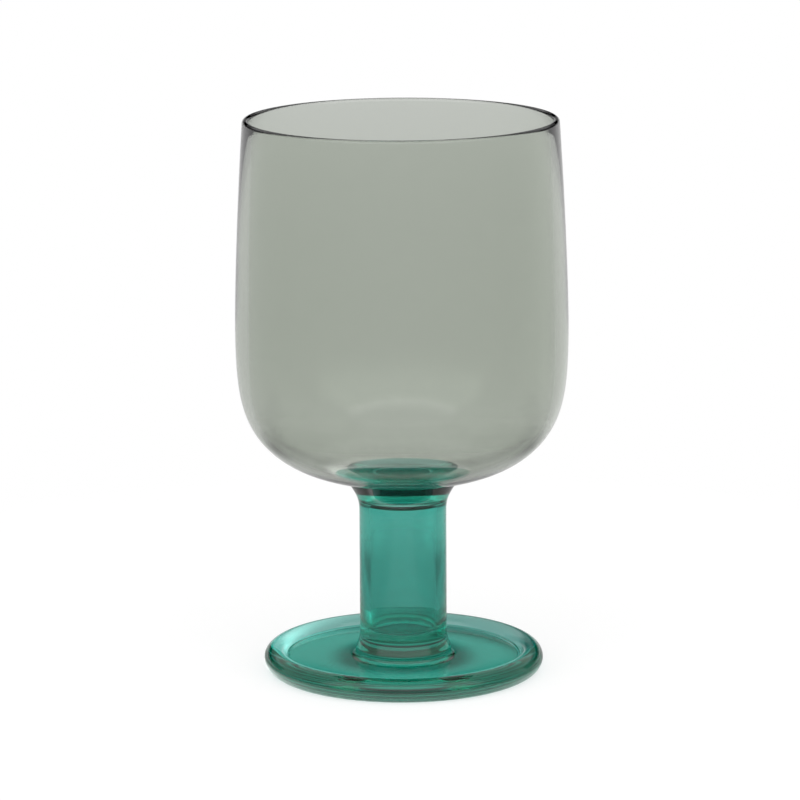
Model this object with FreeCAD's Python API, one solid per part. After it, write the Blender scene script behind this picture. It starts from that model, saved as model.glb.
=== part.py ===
"""Stemmed goblet in two colours of blown glass, as three pieces fused one on another.

foot   a solid disc with a flat top, a raised round bead along its edge and a low boss under the stem
stem   a short thick tube, sealed at both ends so that it holds a long closed air space
bowl   a deep cup, widest above its round lower corner, drawn in towards a rounded lip

Every piece is a solid of revolution about +Z. The origin is the centre of the foot's flat underside.
Lengths are millimetres.
"""

import FreeCAD
import Part

import math
import os

# Driving dimensions
TOTAL_HEIGHT = 135.0
BOWL_DIAMETER = 80.0
FOOT_DIAMETER = 68.0
STEM_DIAMETER = 21.1

# Foot
FOOT_FLAT_HEIGHT = 3.4  # top of the flat disc
BEAD_RADIUS = 2.9  # the bead along the edge is round from the flat underside to its top
BEAD_INNER_FILLET = 0.8  # where the bead runs down into the flat
BOSS_RADIUS = 11.6
BOSS_HEIGHT = 5.0  # the seal between foot and stem lies at this height
BOSS_FILLET = 1.5

# Stem
STEM_WALL = 2.5
STEM_KNOB_TOP = 9.6  # above this the stem is a plain tube
STEM_KNOB_BULGE = 11.7
STEM_FLARE_START = 39.5
STEM_FLARE_REACH = 3.45  # how far the flare spreads from the tube, a little past the bowl's surface
CAVITY_FLOOR = 9.5
CAVITY_CEILING = 43.7
CAVITY_CORNER = 2.2

# Bowl
RIM_OUTER_RADIUS = 37.8
RIM_WALL = 1.6
BOWL_SEAT_HEIGHT = 46.7  # underside of the bowl on its axis
BOWL_FLOOR_HEIGHT = 49.0  # bottom of the space inside, on its axis

# Shared by several pieces
BOWL_RADIUS = BOWL_DIAMETER / 2
FOOT_RADIUS = FOOT_DIAMETER / 2
STEM_RADIUS = STEM_DIAMETER / 2
CAVITY_RADIUS = STEM_RADIUS - STEM_WALL
LIP_RADIUS = RIM_WALL / 2
LIP_HEIGHT = TOTAL_HEIGHT - LIP_RADIUS


def at(radius, height):
    """A point of a section, in the half plane that turns about +Z."""
    return FreeCAD.Vector(radius, 0, height)


def line(a, b):
    return Part.LineSegment(a, b).toShape()


def arc(a, through, b):
    return Part.Arc(a, through, b).toShape()


def smooth(points):
    """One cubic spline edge with these control points. It starts on the first and ends on the last."""
    curve = Part.BSplineCurve()
    curve.buildFromPoles(points, False, 3)
    return curve.toShape()


def turned(edges):
    """The solid that a closed section makes in one full turn about +Z."""
    section = Part.Face(Part.Wire(edges))
    solid = section.revolve(FreeCAD.Vector(0, 0, 0), FreeCAD.Vector(0, 0, 1), 360)
    if solid.Volume < 0:
        solid.reverse()
    return solid


def bowl_outer():
    """Outside of the bowl from the lip down to the axis."""
    return [
        at(RIM_OUTER_RADIUS, LIP_HEIGHT),
        at(BOWL_RADIUS - 1.4, TOTAL_HEIGHT - 12.6),
        at(BOWL_RADIUS - 0.23, TOTAL_HEIGHT - 35.4),
        at(BOWL_RADIUS + 0.38, TOTAL_HEIGHT - 60.4),
        at(BOWL_RADIUS - 2.19, BOWL_SEAT_HEIGHT + 13.15),
        at(BOWL_RADIUS - 13.65, BOWL_SEAT_HEIGHT + 2.75),
        at(STEM_RADIUS + 0.2, BOWL_SEAT_HEIGHT),
        at(0, BOWL_SEAT_HEIGHT),
    ]


def bowl_inner():
    """Inside of the bowl from the axis up. The wall is thickest at the sides and thinnest at the lip."""
    return [
        at(0, BOWL_FLOOR_HEIGHT),
        at(STEM_RADIUS - 1.05, BOWL_FLOOR_HEIGHT),
        at(BOWL_RADIUS - 15.0, BOWL_FLOOR_HEIGHT + 2.0),
        at(BOWL_RADIUS - 4.3, BOWL_FLOOR_HEIGHT + 11.8),
        at(BOWL_RADIUS - 2.9, TOTAL_HEIGHT - 60.5),
        at(BOWL_RADIUS - 3.1, TOTAL_HEIGHT - 33.6),
        at(BOWL_RADIUS - 4.1, TOTAL_HEIGHT - 9.5),
        at(RIM_OUTER_RADIUS - RIM_WALL, LIP_HEIGHT),
    ]


def make_bowl():
    outer = bowl_outer()
    inner = bowl_inner()
    lip_top = at(RIM_OUTER_RADIUS - LIP_RADIUS, TOTAL_HEIGHT)
    return turned(
        [
            smooth(outer),
            line(outer[-1], inner[0]),
            smooth(inner),
            arc(inner[-1], lip_top, outer[0]),
        ]
    )


def filled_bowl():
    """The bowl's outer shape without its hollow, for cutting the seat in the stem."""
    outer = bowl_outer()
    top = at(0, LIP_HEIGHT)
    return turned([smooth(outer), line(outer[-1], top), line(top, outer[0])])


def stem_cavity():
    """The air space inside the stem, with round corners and a slightly domed floor and ceiling."""
    wall_low = at(CAVITY_RADIUS, CAVITY_FLOOR + CAVITY_CORNER)
    wall_high = at(CAVITY_RADIUS, CAVITY_CEILING - CAVITY_CORNER)
    flat_radius = CAVITY_RADIUS * 0.7
    floor = at(0, CAVITY_FLOOR)
    ceiling = at(0, CAVITY_CEILING)
    return turned(
        [
            smooth([floor, at(flat_radius, CAVITY_FLOOR), at(CAVITY_RADIUS, CAVITY_FLOOR), wall_low]),
            line(wall_low, wall_high),
            smooth([wall_high, at(CAVITY_RADIUS, CAVITY_CEILING), at(flat_radius, CAVITY_CEILING), ceiling]),
            line(ceiling, floor),
        ]
    )


def make_stem():
    base = at(0, BOSS_HEIGHT)
    base_edge = at(BOSS_RADIUS, BOSS_HEIGHT)
    tube_low = at(STEM_RADIUS, STEM_KNOB_TOP)
    tube_high = at(STEM_RADIUS, STEM_FLARE_START)
    flare_end = at(STEM_RADIUS + STEM_FLARE_REACH, BOWL_SEAT_HEIGHT + 1.2)
    cap = at(0, BOWL_SEAT_HEIGHT + 1.2)
    knob = smooth(
        [
            base_edge,
            at(STEM_KNOB_BULGE, BOSS_HEIGHT + 0.9),
            at(STEM_RADIUS, STEM_KNOB_TOP - 2.2),
            tube_low,
        ]
    )
    flare = smooth(
        [
            tube_high,
            at(STEM_RADIUS, BOWL_SEAT_HEIGHT - 3.5),
            at(STEM_RADIUS + STEM_FLARE_REACH / 3, BOWL_SEAT_HEIGHT - 2.5),
            flare_end,
        ]
    )
    tube = line(tube_low, tube_high)
    blank = turned([line(base, base_edge), knob, tube, flare, line(flare_end, cap), line(cap, base)])
    return blank.cut(stem_cavity()).cut(filled_bowl())


def make_foot():
    core_radius = FOOT_RADIUS - BEAD_RADIUS
    bead_low = at(core_radius, 0)
    bead_side = at(FOOT_RADIUS, BEAD_RADIUS)
    # the bead's inner end, where a small round takes it down to the flat
    reach = BEAD_RADIUS + BEAD_INNER_FILLET
    rise = FOOT_FLAT_HEIGHT + BEAD_INNER_FILLET - BEAD_RADIUS
    slope = math.asin(rise / reach)
    bead_end = at(core_radius - BEAD_RADIUS * math.cos(slope), BEAD_RADIUS * (1 + math.sin(slope)))
    fillet_radius = core_radius - reach * math.cos(slope)
    flat_outer = at(fillet_radius, FOOT_FLAT_HEIGHT)
    turn = (slope - math.pi / 2) / 2
    fillet_middle = at(
        fillet_radius + BEAD_INNER_FILLET * math.cos(turn),
        FOOT_FLAT_HEIGHT + BEAD_INNER_FILLET * (1 + math.sin(turn)),
    )
    flat_inner = at(BOSS_RADIUS + BOSS_FILLET, FOOT_FLAT_HEIGHT)
    boss_edge = at(BOSS_RADIUS, BOSS_HEIGHT)
    boss_side = smooth(
        [
            flat_inner,
            at(BOSS_RADIUS + BOSS_FILLET * 0.45, FOOT_FLAT_HEIGHT),
            at(BOSS_RADIUS, FOOT_FLAT_HEIGHT + 0.5),
            boss_edge,
        ]
    )
    centre = at(0, 0)
    boss_centre = at(0, BOSS_HEIGHT)
    return turned(
        [
            line(centre, bead_low),
            arc(bead_low, bead_side, bead_end),
            arc(bead_end, fillet_middle, flat_outer),
            line(flat_outer, flat_inner),
            boss_side,
            line(boss_edge, boss_centre),
            line(boss_centre, centre),
        ]
    )


def main():
    os.makedirs("parts", exist_ok=True)
    for name, make in (("foot", make_foot), ("stem", make_stem), ("bowl", make_bowl)):
        piece = make()
        piece.exportStep(f"parts/{name}.step")
        box = piece.optimalBoundingBox(False)
        print(
            f"{name}: {len(piece.Solids)} solid, {piece.Volume / 1000:.2f} cm3, valid {piece.isValid()},"
            f" across {box.XLength:.2f} mm, from {box.ZMin:.2f} to {box.ZMax:.2f} mm"
        )


main()
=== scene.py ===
"""Looks of a stemmed goblet: a smoke-tinted bowl on a hollow teal stem and a teal foot with a beaded edge.

Each glass piece is an outline turned about the upright axis by one Geometry Nodes tree. The pieces are fused to
each other, so the faces of a seal between two of them let light pass straight on. Each glass has part of its colour
in its skin, which tints light where it crosses, and part in its body, which darkens light with depth.
"""

import math

import bpy
from mathutils import Matrix, Vector


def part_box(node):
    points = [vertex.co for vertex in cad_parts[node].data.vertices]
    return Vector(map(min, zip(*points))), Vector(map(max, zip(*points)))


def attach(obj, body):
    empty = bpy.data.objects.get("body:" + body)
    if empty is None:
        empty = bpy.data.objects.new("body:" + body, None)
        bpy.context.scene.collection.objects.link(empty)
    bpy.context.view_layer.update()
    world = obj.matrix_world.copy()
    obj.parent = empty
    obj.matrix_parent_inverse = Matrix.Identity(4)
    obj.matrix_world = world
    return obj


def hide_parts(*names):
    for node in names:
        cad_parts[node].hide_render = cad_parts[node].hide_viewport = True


bl_info = {
    "name": "Stemmed Goblet",
    "version": (1, 0, 0),
    "blender": (4, 5, 0),
    "location": "View3D > Sidebar > Goblet",
    "description": "Builds a two-coloured blown goblet and the studio it stands in",
    "category": "Add Mesh",
}

MM = 0.001
SEAL_GAP = 0.01 * MM  # keeps the two faces of a seal apart
MERGE_DISTANCE = 0.0002 * MM
CURVE_STEPS = 14  # points on each span of a curve or on a round
WIDE_SEGMENTS = 256  # round the bowl and the foot
STEM_SEGMENTS = 192
SHARP_ANGLE = math.radians(32)
GLASS_IOR = 1.5

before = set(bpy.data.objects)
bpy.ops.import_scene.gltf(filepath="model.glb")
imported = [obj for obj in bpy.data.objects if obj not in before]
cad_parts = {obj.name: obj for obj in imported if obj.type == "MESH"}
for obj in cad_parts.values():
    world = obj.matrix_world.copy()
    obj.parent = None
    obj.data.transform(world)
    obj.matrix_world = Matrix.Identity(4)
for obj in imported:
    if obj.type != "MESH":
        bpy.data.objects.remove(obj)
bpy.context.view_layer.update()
BOWL_LOW, BOWL_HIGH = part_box("bowl")
STEM_LOW, STEM_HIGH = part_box("stem")
FOOT_LOW, FOOT_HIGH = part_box("foot")


# ---------------------------------------------------------------- outlines


def curve_points(poles, steps=CURVE_STEPS):
    """Points along the cubic B-spline that starts on the first pole and ends on the last, with even knots."""
    spans = len(poles) - 3
    knots = [0.0] * 3 + [float(k) for k in range(spans + 1)] + [float(spans)] * 3
    points = []
    for step in range(spans * steps + 1):
        t = step / steps
        span = min(int(t), spans - 1) + 3
        local = [Vector(pole) for pole in poles[span - 3 : span + 1]]
        for level in range(1, 4):
            for j in range(3, level - 1, -1):
                low = knots[span - 3 + j]
                high = knots[span + 1 + j - level]
                local[j] = local[j - 1].lerp(local[j], (t - low) / (high - low))
        points.append(local[3])
    return points


def round_points(centre, radius, start, end, steps=CURVE_STEPS):
    """Points on an arc about centre, from the start to the end angle, in degrees up from the outward direction."""
    angles = [math.radians(start + (end - start) * step / steps) for step in range(steps + 1)]
    return [Vector(centre) + radius * Vector((math.cos(a), math.sin(a))) for a in angles]


def crossing(path, line):
    """Where a path first meets a line that runs outwards: the number of path points before it, and the point."""
    for count in range(1, len(path)):
        a, b = path[count - 1], path[count]
        for c, d in zip(line, line[1:]):
            ab, cd, ac = b - a, d - c, c - a
            cross = ab.x * cd.y - ab.y * cd.x
            if abs(cross) < 1e-18:
                continue
            on_path = (ac.x * cd.y - ac.y * cd.x) / cross
            on_line = (ac.x * ab.y - ac.y * ab.x) / cross
            if 0 <= on_path <= 1 and 0 <= on_line <= 1:
                return count, a + ab * on_path
    raise ValueError("the path doesn't meet the line")


# ---------------------------------------------------------------- sizes


class BowlSizes(bpy.types.PropertyGroup):
    """Sizes of the bowl."""

    lip_radius: bpy.props.FloatProperty(
        name="Lip Radius", description="Outer radius at the lip", default=37.8 * MM, unit="LENGTH"
    )
    lip_wall: bpy.props.FloatProperty(
        name="Lip Wall", description="Thickness of the wall at the lip", default=1.6 * MM, unit="LENGTH"
    )
    floor_thickness: bpy.props.FloatProperty(
        name="Floor Thickness", description="Glass on the axis under the drink", default=2.3 * MM, unit="LENGTH"
    )
    smoke: bpy.props.FloatVectorProperty(
        name="Smoke",
        description="Colour that the smoke glass lets through",
        default=(0.28, 0.367, 0.222),
        subtype="COLOR",
    )
    smoke_density: bpy.props.FloatProperty(
        name="Smoke Density", description="How quickly the smoke glass darkens with depth", default=63.0
    )
    haze: bpy.props.FloatVectorProperty(
        name="Haze",
        description="Colour of light that has gone in and out through the bowl's skin",
        default=(0.780, 0.804, 0.764),
        subtype="COLOR",
    )


class StemSizes(bpy.types.PropertyGroup):
    """Sizes of the stem."""

    tube_radius: bpy.props.FloatProperty(
        name="Tube Radius", description="Outer radius of the stem's tube", default=10.55 * MM, unit="LENGTH"
    )
    wall: bpy.props.FloatProperty(
        name="Wall", description="Thickness of the tube's wall", default=2.5 * MM, unit="LENGTH"
    )
    knob_radius: bpy.props.FloatProperty(
        name="Knob Radius", description="Radius of the stem where it meets the foot", default=11.6 * MM, unit="LENGTH"
    )
    knob_top: bpy.props.FloatProperty(
        name="Knob Top", description="Height above which the stem is a plain tube", default=9.6 * MM, unit="LENGTH"
    )
    flare_start: bpy.props.FloatProperty(
        name="Flare Start", description="Height where the stem begins to spread", default=39.5 * MM, unit="LENGTH"
    )
    flare_reach: bpy.props.FloatProperty(
        name="Flare Reach", description="How far the flare spreads from the tube", default=3.45 * MM, unit="LENGTH"
    )
    floor: bpy.props.FloatProperty(
        name="Hollow Floor", description="Height of the bottom of the air space", default=9.5 * MM, unit="LENGTH"
    )
    ceiling: bpy.props.FloatProperty(
        name="Hollow Ceiling", description="Height of the top of the air space", default=43.7 * MM, unit="LENGTH"
    )
    corner: bpy.props.FloatProperty(
        name="Hollow Corner", description="Height of the air space's round corners", default=2.2 * MM, unit="LENGTH"
    )
    ceiling_layers: bpy.props.FloatProperty(
        name="Ceiling Layers", description="Layers of teal on the end of the air space under the bowl", default=6.0
    )


class FootSizes(bpy.types.PropertyGroup):
    """Sizes of the foot."""

    flat_height: bpy.props.FloatProperty(
        name="Flat Height", description="Height of the flat top", default=3.4 * MM, unit="LENGTH"
    )
    bead_radius: bpy.props.FloatProperty(
        name="Bead Radius", description="Round of the bead along the edge", default=2.9 * MM, unit="LENGTH"
    )
    bead_fillet: bpy.props.FloatProperty(
        name="Bead Fillet", description="Hollow round from the bead to the flat", default=0.8 * MM, unit="LENGTH"
    )
    boss_fillet: bpy.props.FloatProperty(
        name="Boss Fillet", description="Width of the hollow round at the boss", default=1.5 * MM, unit="LENGTH"
    )
    stain: bpy.props.FloatVectorProperty(
        name="Stain",
        description="Colour of light that has gone in and out through the teal skin of the foot and the stem",
        default=(0.103, 0.51, 0.427),
        subtype="COLOR",
    )
    bead_layers: bpy.props.FloatProperty(
        name="Bead Layers", description="Layers of teal on the bead, where the skin is drawn thin", default=0.25
    )
    teal: bpy.props.FloatVectorProperty(
        name="Teal",
        description="Colour that the teal glass under its skin lets through",
        default=(0.1, 0.84, 0.78),
        subtype="COLOR",
    )
    teal_density: bpy.props.FloatProperty(
        name="Teal Density", description="How quickly the teal glass darkens with depth", default=100.0
    )


class StudioSettings(bpy.types.PropertyGroup):
    """The floor, the light and the camera."""

    floor_size: bpy.props.FloatProperty(
        name="Floor Radius", description="Radius of the pale table top", default=0.22, unit="LENGTH"
    )
    camera_distance: bpy.props.FloatProperty(
        name="Camera Distance", description="From the axis of the goblet", default=966.9 * MM, unit="LENGTH"
    )
    camera_height: bpy.props.FloatProperty(
        name="Camera Height", description="Above the table", default=269.1 * MM, unit="LENGTH"
    )
    camera_tilt: bpy.props.FloatProperty(
        name="Camera Tilt", description="How far the camera looks down", default=math.radians(11.826), subtype="ANGLE"
    )
    camera_roll: bpy.props.FloatProperty(
        name="Camera Roll", description="How far the camera leans", default=math.radians(-0.31), subtype="ANGLE"
    )
    camera_offset: bpy.props.FloatProperty(
        name="Camera Offset", description="Sideways from the goblet's axis", default=-0.54 * MM, unit="LENGTH"
    )
    lens: bpy.props.FloatProperty(name="Lens", description="Focal length in millimetres", default=184.5)


# ---------------------------------------------------------------- nodes


def add(tree, kind, inputs=None, **settings):
    """Adds a node, with values or links for its inputs."""
    node = tree.nodes.new(kind)
    for name, value in settings.items():
        setattr(node, name, value)
    for socket, value in (inputs or {}).items():
        if isinstance(value, bpy.types.NodeSocket):
            tree.links.new(value, node.inputs[socket])
        else:
            node.inputs[socket].default_value = value
    return node


def maths(tree, operation, *values):
    return add(tree, "ShaderNodeMath", dict(enumerate(values)), operation=operation).outputs[0]


def turned_glass_tree():
    """Turns an outline about +Z. A point's radius is its share: how much of Share Tint the row of faces that starts
    there gets on top of Tint."""
    tree = bpy.data.node_groups.get("turned_glass")
    if tree:
        return tree
    tree = bpy.data.node_groups.new("turned_glass", "GeometryNodeTree")
    for name, kind in (
        ("Outline", "NodeSocketGeometry"),
        ("Segments", "NodeSocketInt"),
        ("Seal Rows Below", "NodeSocketInt"),
        ("Seal Rows Above", "NodeSocketInt"),
        ("Tint", "NodeSocketFloat"),
        ("Share Tint", "NodeSocketFloat"),
        ("Glass", "NodeSocketMaterial"),
    ):
        tree.interface.new_socket(name, in_out="INPUT", socket_type=kind)
    tree.interface.new_socket("Piece", in_out="OUTPUT", socket_type="NodeSocketGeometry")
    given = add(tree, "NodeGroupInput").outputs
    points = add(tree, "GeometryNodeCurveToPoints", {"Curve": given["Outline"]}, mode="EVALUATED").outputs["Points"]
    rows = add(tree, "GeometryNodeAttributeDomainSize", {"Geometry": points}, component="POINTCLOUD")
    rows = rows.outputs["Point Count"]
    columns = maths(tree, "ADD", given["Segments"], 1.0)
    grid = add(tree, "GeometryNodeMeshGrid", {"Vertices X": rows, "Vertices Y": columns}).outputs["Mesh"]
    index = add(tree, "GeometryNodeInputIndex").outputs[0]
    row = maths(tree, "FLOOR", maths(tree, "DIVIDE", index, columns))
    column = maths(tree, "SUBTRACT", index, maths(tree, "MULTIPLY", row, columns))
    place = add(
        tree,
        "GeometryNodeSampleIndex",
        {"Geometry": points, "Value": add(tree, "GeometryNodeInputPosition").outputs[0], "Index": row},
        data_type="FLOAT_VECTOR",
    ).outputs["Value"]
    place = add(tree, "ShaderNodeSeparateXYZ", {0: place}).outputs
    angle = maths(tree, "DIVIDE", maths(tree, "MULTIPLY", column, math.tau), given["Segments"])
    turned = add(
        tree,
        "ShaderNodeCombineXYZ",
        {
            "X": maths(tree, "MULTIPLY", place["X"], maths(tree, "COSINE", angle)),
            "Y": maths(tree, "MULTIPLY", place["X"], maths(tree, "SINE", angle)),
            "Z": place["Z"],
        },
    ).outputs[0]
    skin = add(tree, "GeometryNodeSetPosition", {"Geometry": grid, "Position": turned}).outputs[0]
    face_row = maths(tree, "FLOOR", maths(tree, "DIVIDE", index, given["Segments"]))
    below = maths(tree, "LESS_THAN", maths(tree, "ADD", face_row, 0.5), given["Seal Rows Below"])
    last = maths(tree, "SUBTRACT", maths(tree, "SUBTRACT", rows, 1.5), given["Seal Rows Above"])
    above = maths(tree, "GREATER_THAN", face_row, last)
    seal = add(
        tree,
        "GeometryNodeStoreNamedAttribute",
        {"Geometry": skin, "Name": "seal", "Value": maths(tree, "MAXIMUM", below, above)},
        data_type="FLOAT",
        domain="FACE",
    ).outputs[0]
    share = add(
        tree,
        "GeometryNodeSampleIndex",
        {"Geometry": points, "Value": add(tree, "GeometryNodeInputRadius").outputs[0], "Index": face_row},
        data_type="FLOAT",
    ).outputs["Value"]
    tint = maths(tree, "MULTIPLY_ADD", share, given["Share Tint"], given["Tint"])
    tinted = add(
        tree,
        "GeometryNodeStoreNamedAttribute",
        {"Geometry": seal, "Name": "tint", "Value": tint},
        data_type="FLOAT",
        domain="FACE",
    ).outputs[0]
    merged = add(tree, "GeometryNodeMergeByDistance", {"Geometry": tinted, "Distance": MERGE_DISTANCE}).outputs[0]
    outwards = add(tree, "GeometryNodeFlipFaces", {"Mesh": merged}).outputs[0]
    smooth = add(tree, "GeometryNodeSetShadeSmooth", {"Geometry": outwards}).outputs[0]
    real = add(tree, "GeometryNodeRealizeInstances", {"Geometry": smooth}).outputs[0]
    finished = add(tree, "GeometryNodeSetMaterial", {"Geometry": real, "Material": given["Glass"]}).outputs[0]
    add(tree, "NodeGroupOutput", {"Piece": finished})
    return tree


def turn(outline, material, segments, seals=(0, 0), tint=1.0, shares=None, share_tint=0.0):
    """A mesh of the outline turned about +Z. seals counts the rows of faces at its start and its end that are sealed,
    and tint counts the layers of skin colour on it, with share_tint more where a point's share is 1."""
    curve = bpy.data.curves.new("outline", "CURVE")
    curve.dimensions = "3D"
    spline = curve.splines.new("POLY")
    spline.points.add(len(outline) - 1)
    for number, (point, place) in enumerate(zip(spline.points, outline)):
        point.co = (place.x, 0, place.y, 1)
        point.radius = shares[number] if shares else 0.0
    holder = bpy.data.objects.new("outline", curve)
    bpy.context.scene.collection.objects.link(holder)
    modifier = holder.modifiers.new("turned", "NODES")
    modifier.node_group = turned_glass_tree()
    values = {
        "Segments": segments,
        "Seal Rows Below": seals[0],
        "Seal Rows Above": seals[1],
        "Tint": tint,
        "Share Tint": share_tint,
        "Glass": material,
    }
    for socket in modifier.node_group.interface.items_tree:
        if socket.in_out == "INPUT" and socket.name in values:
            modifier[socket.identifier] = values[socket.name]
    evaluated = holder.evaluated_get(bpy.context.evaluated_depsgraph_get())
    mesh = bpy.data.meshes.new_from_object(evaluated)
    mesh.materials.pop(index=0)  # the curve's own empty slot
    bpy.data.objects.remove(holder)
    bpy.data.curves.remove(curve)
    return mesh


def finish_piece(name, meshes):
    """Joins the skins of a piece into one object, which takes the place of the CAD node of that name."""
    piece = bpy.data.objects.new(f"{name}_glass", meshes[0])
    bpy.context.scene.collection.objects.link(piece)
    if len(meshes) > 1:
        others = [bpy.data.objects.new(f"{name}_skin", mesh) for mesh in meshes[1:]]
        for other in others:
            bpy.context.scene.collection.objects.link(other)
        skins = [piece, *others]
        with bpy.context.temp_override(
            active_object=piece, object=piece, selected_objects=skins, selected_editable_objects=skins
        ):
            bpy.ops.object.join()
    piece.data.set_sharp_from_angle(angle=SHARP_ANGLE)
    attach(piece, "root")
    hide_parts(name)
    return piece


# ---------------------------------------------------------------- materials


def glass_skin_group():
    """Shader group for blown glass: a faint long ripple for its bump, and a faint bloom for its roughness."""
    group = bpy.data.node_groups.get("glass_skin")
    if group:
        return group
    group = bpy.data.node_groups.new("glass_skin", "ShaderNodeTree")
    for name, default in (("Ripple Scale", 60.0), ("Ripple Stretch", 0.35), ("Bloom", 0.01)):
        group.interface.new_socket(name, in_out="INPUT", socket_type="NodeSocketFloat").default_value = default
    for name in ("Height", "Roughness"):
        group.interface.new_socket(name, in_out="OUTPUT", socket_type="NodeSocketFloat")
    given = add(group, "NodeGroupInput").outputs
    place = add(group, "ShaderNodeTexCoord").outputs["Object"]
    stretch = add(group, "ShaderNodeCombineXYZ", {"X": 1.0, "Y": 1.0, "Z": given["Ripple Stretch"]}).outputs[0]
    drawn = add(group, "ShaderNodeVectorMath", {0: place, 1: stretch}, operation="MULTIPLY").outputs[0]
    noise = {"Vector": drawn, "Scale": given["Ripple Scale"], "Detail": 1.0, "Roughness": 0.4}
    ripple = add(group, "ShaderNodeTexNoise", noise).outputs[0]
    cloud = add(group, "ShaderNodeTexNoise", {"Vector": place, "Scale": 35.0, "Detail": 2.0}).outputs[0]
    bloom = add(
        group, "ShaderNodeMapRange", {"Value": cloud, "From Min": 0.45, "From Max": 0.75, "To Max": given["Bloom"]}
    ).outputs[0]
    add(group, "NodeGroupOutput", {"Height": ripple, "Roughness": bloom})
    return group


def glass_material(name, skin_colour, colour, density, layered=False):
    """Glass that darkens with depth, and gives light skin_colour as it goes in and out. With layered, the skin has as
    many layers of that colour as the piece's tint says. Seals are clear."""
    material = bpy.data.materials.new(name)
    material.use_nodes = True
    tree = material.node_tree
    tree.nodes.clear()
    skin = add(tree, "ShaderNodeGroup", node_tree=glass_skin_group())
    bump = add(tree, "ShaderNodeBump", {"Height": skin.outputs["Height"], "Strength": 0.15, "Distance": 0.05 * MM})
    seal = add(tree, "ShaderNodeAttribute", attribute_name="seal").outputs["Fac"]
    stain = (*skin_colour, 1.0)
    if layered:
        layers = add(tree, "ShaderNodeAttribute", attribute_name="tint").outputs["Fac"]
        channels = {number: maths(tree, "POWER", value, layers) for number, value in enumerate(skin_colour)}
        stain = add(tree, "ShaderNodeCombineColor", channels).outputs[0]
    glass = add(
        tree,
        "ShaderNodeBsdfPrincipled",
        {
            "Base Color": stain,
            "Roughness": skin.outputs["Roughness"],
            "IOR": GLASS_IOR,
            "Transmission Weight": 1.0,
            "Alpha": maths(tree, "SUBTRACT", 1.0, seal),
            "Normal": bump.outputs[0],
        },
    )
    depth = add(tree, "ShaderNodeVolumeAbsorption", {"Color": (*colour, 1.0), "Density": density})
    add(tree, "ShaderNodeOutputMaterial", {"Surface": glass.outputs[0], "Volume": depth.outputs[0]})
    return material


def teal_glass():
    """The one material of the stem and the foot."""
    sizes = bpy.context.scene.goblet_foot
    name = "teal_blown_glass"
    glass = bpy.data.materials.get(name)
    return glass or glass_material(name, sizes.stain, sizes.teal, sizes.teal_density, layered=True)


# ---------------------------------------------------------------- pieces


def bowl_outside():
    """The bowl's outside from the axis at its seat up to the lip: flat on the stem, round at the lower corner, widest
    above it and drawn in towards the lip."""
    sizes = bpy.context.scene.goblet_bowl
    stem_radius = bpy.context.scene.goblet_stem.tube_radius
    radius, top, seat = BOWL_HIGH.x, BOWL_HIGH.z, BOWL_LOW.z
    poles = [
        (0.0, seat),
        (stem_radius + 0.2 * MM, seat),
        (radius - 13.65 * MM, seat + 2.75 * MM),
        (radius - 2.19 * MM, seat + 13.15 * MM),
        (radius + 0.38 * MM, top - 60.4 * MM),
        (radius - 0.23 * MM, top - 35.4 * MM),
        (radius - 1.4 * MM, top - 12.6 * MM),
        (sizes.lip_radius, top - sizes.lip_wall / 2),
    ]
    return curve_points(poles)


def bowl_inside():
    """The bowl's inside from the lip down to the axis, with the thickest wall at the sides."""
    sizes = bpy.context.scene.goblet_bowl
    stem_radius = bpy.context.scene.goblet_stem.tube_radius
    radius, top = BOWL_HIGH.x, BOWL_HIGH.z
    floor = BOWL_LOW.z + sizes.floor_thickness
    poles = [
        (sizes.lip_radius - sizes.lip_wall, top - sizes.lip_wall / 2),
        (radius - 4.1 * MM, top - 9.5 * MM),
        (radius - 3.1 * MM, top - 33.6 * MM),
        (radius - 2.9 * MM, top - 60.5 * MM),
        (radius - 4.3 * MM, floor + 11.8 * MM),
        (radius - 15.0 * MM, floor + 2.0 * MM),
        (stem_radius - 1.05 * MM, floor),
        (0.0, floor),
    ]
    return curve_points(poles)


def stem_flare():
    """The stem's collar, from the tube outwards and on past the bowl's outside."""
    sizes, seat = bpy.context.scene.goblet_stem, BOWL_LOW.z
    return curve_points(
        [
            (sizes.tube_radius, sizes.flare_start),
            (sizes.tube_radius, seat - 3.5 * MM),
            (sizes.tube_radius + sizes.flare_reach / 3, seat - 2.5 * MM),
            (sizes.tube_radius + sizes.flare_reach, seat + 1.2 * MM),
        ]
    )


class GOBLET_OT_bowl(bpy.types.Operator):
    """Builds the smoke glass bowl"""

    bl_idname = "goblet.bowl"
    bl_label = "Bowl"

    def execute(self, context):
        sizes = context.scene.goblet_bowl
        material = glass_material("smoke_blown_glass", sizes.haze, sizes.smoke, sizes.smoke_density)
        outside = bowl_outside()
        inside = bowl_inside()
        lip_centre = (sizes.lip_radius - sizes.lip_wall / 2, BOWL_HIGH.z - sizes.lip_wall / 2)
        lip = round_points(lip_centre, sizes.lip_wall / 2, 0, 180)
        edge = crossing(stem_flare(), outside)[1]
        seal = [point for point in outside if point.x < edge.x] + [edge]
        outside = [point for point in outside if point.x > edge.x]
        outline = seal + outside + lip[1:-1] + inside
        finish_piece("bowl", [turn(outline, material, WIDE_SEGMENTS, (len(seal) - 1, 0))])
        return {"FINISHED"}


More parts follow.
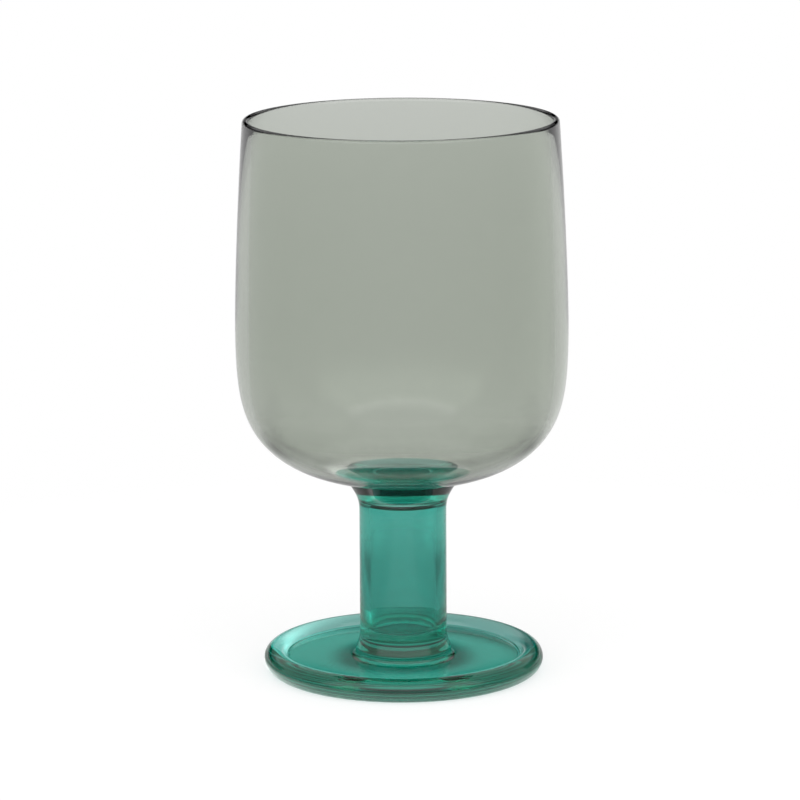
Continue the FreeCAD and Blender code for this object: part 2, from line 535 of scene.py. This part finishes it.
class GOBLET_OT_stem(bpy.types.Operator):
    """Builds the hollow teal stem, with its collar under the bowl and its knob on the foot"""

    bl_idname = "goblet.stem"
    bl_label = "Stem"

    def execute(self, context):
        sizes = context.scene.goblet_stem
        radius, base = sizes.tube_radius, STEM_LOW.z + SEAL_GAP
        knob = curve_points(
            [
                (sizes.knob_radius, base),
                (sizes.knob_radius + 0.1 * MM, base + 0.9 * MM),
                (radius, sizes.knob_top - 2.2 * MM),
                (radius, sizes.knob_top),
            ]
        )
        flare = stem_flare()
        gap = Vector((0.0, SEAL_GAP))
        outside = bowl_outside()
        count, edge = crossing(flare, outside)
        seal = [edge - gap] + [point - gap for point in reversed(outside) if point.x < edge.x]
        outline = [Vector((0.0, base))] + knob + flare[:count] + seal
        skin = turn(outline, teal_glass(), STEM_SEGMENTS, (1, len(seal) - 1))

        # the air space: nearly flat ends, round corners, and the teal on its upper end
        inner = radius - sizes.wall
        flat = inner * 0.7
        top, bottom = (
            [(0.0, end), (flat, end), (inner, end), (inner, end + rise)]
            for end, rise in ((sizes.ceiling, -sizes.corner), (sizes.floor, sizes.corner))
        )
        top, bottom = curve_points(top), curve_points(bottom[::-1])
        shares = [1.0] * (len(top) - 1) + [0.0] * (len(bottom) + 1)
        outline = top + bottom
        hollow = turn(outline, teal_glass(), STEM_SEGMENTS, tint=0.0, shares=shares, share_tint=sizes.ceiling_layers)
        finish_piece("stem", [skin, hollow])
        return {"FINISHED"}


class GOBLET_OT_foot(bpy.types.Operator):
    """Builds the teal foot, with its beaded edge and the boss under the stem"""

    bl_idname = "goblet.foot"
    bl_label = "Foot"

    def execute(self, context):
        sizes = context.scene.goblet_foot
        knob_radius = context.scene.goblet_stem.knob_radius
        radius, seal_height = FOOT_HIGH.x, STEM_LOW.z
        core = Vector((radius - sizes.bead_radius, FOOT_HIGH.z - sizes.bead_radius))
        reach = sizes.bead_radius + sizes.bead_fillet
        slope = math.asin((sizes.flat_height + sizes.bead_fillet - core.y) / reach)
        slope_degrees = math.degrees(slope)
        fillet_centre = core + reach * Vector((-math.cos(slope), math.sin(slope)))
        boss = curve_points(
            [
                (knob_radius + sizes.boss_fillet, sizes.flat_height),
                (knob_radius + sizes.boss_fillet * 0.45, sizes.flat_height),
                (knob_radius, sizes.flat_height + 0.5 * MM),
                (knob_radius, seal_height),
            ]
        )
        bead = round_points(core, sizes.bead_radius, -90, 180 - slope_degrees, 42)
        flat = round_points(fillet_centre, sizes.bead_fillet, -slope_degrees, -90, 8)[1:] + boss
        outline = [Vector((0.0, 0.0))] + bead + flat + [Vector((0.0, seal_height))]
        shares = [0.0] + [1.0] * len(bead) + [0.0] * (len(flat) + 1)
        fewer = sizes.bead_layers - 1.0
        mesh = turn(outline, teal_glass(), WIDE_SEGMENTS, (0, 1), shares=shares, share_tint=fewer)
        finish_piece("foot", [mesh])
        return {"FINISHED"}


# ---------------------------------------------------------------- studio

# Each soft panel of light in the studio: its middle and half width round the goblet, in degrees from straight
# behind it, its lowest and highest elevation in degrees, the softness of its sides, and how much it adds to the
# studio's own light. The dark band and strip stand for black cloth, so they take light away.
PANELS = (
    ("right_card", 20, 10, -60, 2, 10, 0.08),
    ("front_softbox", 180, 70, 10, 60, 20, 1.1),
    ("ceiling", 0, 180, 50, 90, 12, 0.10),
    ("dark_band", 0, 60, 4, 21, 6, -0.55),
    ("dark_strip", 0, 40, 9, 14.5, 2, -0.19),
)
STUDIO_LIGHT = 0.73


def panel_group():
    """Shader group for one soft panel of light on the studio's walls."""
    group = bpy.data.node_groups.new("soft_panel", "ShaderNodeTree")
    for name in ("Azimuth", "Elevation", "Middle", "Half Width", "Lowest", "Highest", "Softness", "Radiance"):
        group.interface.new_socket(name, in_out="INPUT", socket_type="NodeSocketFloat")
    group.interface.new_socket("Light", in_out="OUTPUT", socket_type="NodeSocketFloat")
    given = add(group, "NodeGroupInput").outputs
    aside = maths(group, "ABSOLUTE", maths(group, "SUBTRACT", given["Azimuth"], given["Middle"]))
    aside = maths(group, "MINIMUM", aside, maths(group, "SUBTRACT", 360.0, aside))
    masks = []
    for inwards in (
        maths(group, "SUBTRACT", given["Half Width"], aside),
        maths(group, "SUBTRACT", given["Elevation"], given["Lowest"]),
        maths(group, "SUBTRACT", given["Highest"], given["Elevation"]),
    ):
        share = maths(group, "DIVIDE", inwards, given["Softness"])
        ramp = {"Value": share, "From Min": -0.5, "From Max": 0.5}
        masks.append(add(group, "ShaderNodeMapRange", ramp, interpolation_type="SMOOTHSTEP").outputs[0])
    mask = maths(group, "MULTIPLY", maths(group, "MULTIPLY", *masks[:2]), masks[2])
    add(group, "NodeGroupOutput", {"Light": maths(group, "MULTIPLY", mask, given["Radiance"])})
    return group


def build_world():
    """Soft studio light from all round, and a plain white background where nothing stands in front of it."""
    world = bpy.data.worlds.new("studio")
    bpy.context.scene.world = world
    world.use_nodes = True
    tree = world.node_tree
    tree.nodes.clear()
    direction = add(tree, "ShaderNodeTexCoord").outputs["Generated"]
    parts = add(tree, "ShaderNodeSeparateXYZ", {0: direction}).outputs
    azimuth = maths(tree, "DEGREES", maths(tree, "ARCTAN2", parts["X"], parts["Y"]))
    elevation = maths(tree, "DEGREES", maths(tree, "ARCSINE", parts["Z"]))
    group = panel_group()
    light = STUDIO_LIGHT
    # a panel that goes all the way round or up to the zenith reaches on past it, so that no soft side shows there
    for name, middle, half_width, lowest, highest, softness, radiance in PANELS:
        panel = add(
            tree,
            "ShaderNodeGroup",
            {
                "Azimuth": azimuth,
                "Elevation": elevation,
                "Middle": float(middle),
                "Half Width": float(half_width) + (softness if half_width == 180 else 0.0),
                "Lowest": float(lowest),
                "Highest": float(highest) + (softness if highest == 90 else 0.0),
                "Softness": float(softness),
                "Radiance": radiance,
            },
            node_tree=group,
            label=name,
        )
        light = maths(tree, "ADD", light, panel.outputs["Light"])
    studio = add(tree, "ShaderNodeBackground", {"Color": light})
    white = add(tree, "ShaderNodeBackground", {"Color": (1.0, 1.0, 1.0, 1.0)})
    seen = add(tree, "ShaderNodeLightPath").outputs["Is Camera Ray"]
    mix = add(tree, "ShaderNodeMixShader", {0: seen, 1: studio.outputs[0], 2: white.outputs[0]})
    add(tree, "ShaderNodeOutputWorld", {"Surface": mix.outputs[0]})


# The table's tone, and how it changes to the sides and away from the goblet where the table is not seen directly, as
# painted shade (darker to the sides near the goblet) and painted light (lighter far out to the sides): from and to
# this far aside, from and to this far away (all in mm), and the change
TABLE_TONE = 0.62
TABLE_PAINTED_SHADE_AND_LIGHT = ((50, 80, 230, 195, -0.28), (22, 36, 120, 150, 0.14))
# Painted pools of light on the table, which glow where it is not seen directly: middle, radius of the even part,
# radius where it ends (all in mm) and strength. A pool with a negative strength takes light out of the others, as
# painted shade under the stem and the foot.
GLOW_POOLS = (
    ((-4, -3), 27, 42, 0.72),
    ((0, 1), 13, 20, -0.58),
    ((-5, -14), 34, 48, 0.85),
    ((0, 0), 32, 35, -0.8),
)
# Tone and glow of the table where it is seen directly and not through the glass
PLAIN_TONE, PLAIN_GLOW = 0.35, 0.68


def table_material(radius):
    """Matt white table top that fades out into the white surroundings. Where it is not seen directly, its tone
    carries painted shade and painted light, and its glow painted pools of light and painted shade round the foot.
    """
    material = bpy.data.materials.new("table_top")
    material.use_nodes = True
    tree = material.node_tree
    tree.nodes.clear()
    place = add(tree, "ShaderNodeTexCoord").outputs["Object"]
    distance = add(tree, "ShaderNodeVectorMath", {0: place}, operation="LENGTH").outputs["Value"]
    fade = add(
        tree,
        "ShaderNodeMapRange",
        {"Value": distance, "From Min": radius * 0.45, "From Max": radius, "To Min": 1.0, "To Max": 0.0},
        interpolation_type="SMOOTHSTEP",
    ).outputs[0]
    grain = add(tree, "ShaderNodeTexNoise", {"Vector": place, "Scale": 900.0, "Detail": 3.0}).outputs[0]
    bump = add(tree, "ShaderNodeBump", {"Height": grain, "Strength": 0.05, "Distance": 0.02 * MM})
    seen = add(tree, "ShaderNodeLightPath").outputs["Is Camera Ray"]
    aside = maths(tree, "ABSOLUTE", add(tree, "ShaderNodeSeparateXYZ", {0: place}).outputs["X"])
    # painted shade to the sides near the goblet and painted light further out, in the tone that is not seen directly
    tone = TABLE_TONE
    for nearest, beside, away, beyond, change in TABLE_PAINTED_SHADE_AND_LIGHT:
        ramps = [
            {"Value": aside, "From Min": nearest * MM, "From Max": beside * MM},
            {"Value": distance, "From Min": away * MM, "From Max": beyond * MM},
        ]
        ramps = [add(tree, "ShaderNodeMapRange", ramp, interpolation_type="SMOOTHSTEP").outputs[0] for ramp in ramps]
        tone = maths(tree, "MULTIPLY_ADD", maths(tree, "MULTIPLY", *ramps), change, tone)
    tone = add(tree, "ShaderNodeMapRange", {"Value": seen, "To Min": tone, "To Max": PLAIN_TONE}).outputs[0]
    # painted pools of light, and painted shade under the stem and the foot, in the glow that is not seen directly
    glow = 0.0
    for middle, full, gone, strength in GLOW_POOLS:
        away = {0: place, 1: (middle[0] * MM, middle[1] * MM, 0.0)}
        away = add(tree, "ShaderNodeVectorMath", away, operation="DISTANCE").outputs["Value"]
        pool = {"Value": away, "From Min": full * MM, "From Max": gone * MM, "To Min": strength, "To Max": 0.0}
        pool = add(tree, "ShaderNodeMapRange", pool, interpolation_type="SMOOTHSTEP").outputs[0]
        glow = maths(tree, "ADD", glow, pool)
    glow = maths(tree, "MAXIMUM", glow, 0.0)
    glow = add(tree, "ShaderNodeMapRange", {"Value": seen, "To Min": glow, "To Max": PLAIN_GLOW}).outputs[0]
    paint = add(
        tree,
        "ShaderNodeBsdfPrincipled",
        {
            "Base Color": tone,
            "Roughness": 0.8,
            "Specular IOR Level": 0.1,
            "Alpha": fade,
            "Emission Color": (1.0, 1.0, 1.0, 1.0),
            "Emission Strength": glow,
            "Normal": bump.outputs[0],
        },
    )
    add(tree, "ShaderNodeOutputMaterial", {"Surface": paint.outputs[0]})
    return material


def build_table(radius):
    corners = [Vector((math.cos(a), math.sin(a), 0.0)) * radius for a in (math.tau * k / 64 for k in range(64))]
    mesh = bpy.data.meshes.new("table")
    mesh.from_pydata([(c.x, c.y, -0.05 * MM) for c in corners], [], [range(64)])
    mesh.materials.append(table_material(radius))
    table = bpy.data.objects.new("table", mesh)
    bpy.context.scene.collection.objects.link(table)


def build_camera(studio):
    data = bpy.data.cameras.new("camera")
    data.lens = studio.lens
    data.clip_start, data.clip_end = 0.05, 20.0
    camera = bpy.data.objects.new("camera", data)
    bpy.context.scene.collection.objects.link(camera)
    tilt = Matrix.Rotation(math.pi / 2 - studio.camera_tilt, 4, "X")
    lean = Matrix.Rotation(studio.camera_roll, 4, "Z")
    place = Matrix.Translation((studio.camera_offset, -studio.camera_distance, studio.camera_height))
    camera.matrix_world = place @ tilt @ lean
    bpy.context.scene.camera = camera


class GOBLET_OT_studio(bpy.types.Operator):
    """Builds the table top, the soft light and the camera"""

    bl_idname = "goblet.studio"
    bl_label = "Studio"

    def execute(self, context):
        studio = context.scene.goblet_studio
        build_world()
        build_table(studio.floor_size)
        build_camera(studio)
        scene = context.scene
        scene.view_settings.view_transform = "Standard"
        scene.cycles.max_bounces = 32
        scene.cycles.glossy_bounces = 16
        scene.cycles.transmission_bounces = 32
        scene.cycles.transparent_max_bounces = 32
        return {"FINISHED"}


# ---------------------------------------------------------------- add-on


class GOBLET_PT_sidebar(bpy.types.Panel):
    """Lists the goblet's pieces and their sizes"""

    bl_idname = "GOBLET_PT_sidebar"
    bl_label = "Stemmed Goblet"
    bl_space_type = "VIEW_3D"
    bl_region_type = "UI"
    bl_category = "Goblet"

    def draw(self, context):
        for operator, settings in (
            ("goblet.bowl", context.scene.goblet_bowl),
            ("goblet.stem", context.scene.goblet_stem),
            ("goblet.foot", context.scene.goblet_foot),
            ("goblet.studio", context.scene.goblet_studio),
        ):
            box = self.layout.box()
            box.operator(operator)
            for name in settings.__annotations__:
                box.prop(settings, name)


SETTINGS = {
    "goblet_bowl": BowlSizes,
    "goblet_stem": StemSizes,
    "goblet_foot": FootSizes,
    "goblet_studio": StudioSettings,
}
OPERATORS = (GOBLET_OT_bowl, GOBLET_OT_stem, GOBLET_OT_foot, GOBLET_OT_studio)


def register():
    for cls in (*SETTINGS.values(), *OPERATORS, GOBLET_PT_sidebar):
        bpy.utils.register_class(cls)
    for name, cls in SETTINGS.items():
        setattr(bpy.types.Scene, name, bpy.props.PointerProperty(type=cls))


def unregister():
    for name in SETTINGS:
        delattr(bpy.types.Scene, name)
    for cls in reversed((*SETTINGS.values(), *OPERATORS, GOBLET_PT_sidebar)):
        bpy.utils.unregister_class(cls)


def main():
    register()
    bpy.ops.goblet.bowl()
    bpy.ops.goblet.stem()
    bpy.ops.goblet.foot()
    bpy.ops.goblet.studio()


if __name__ == "__main__":
    main()
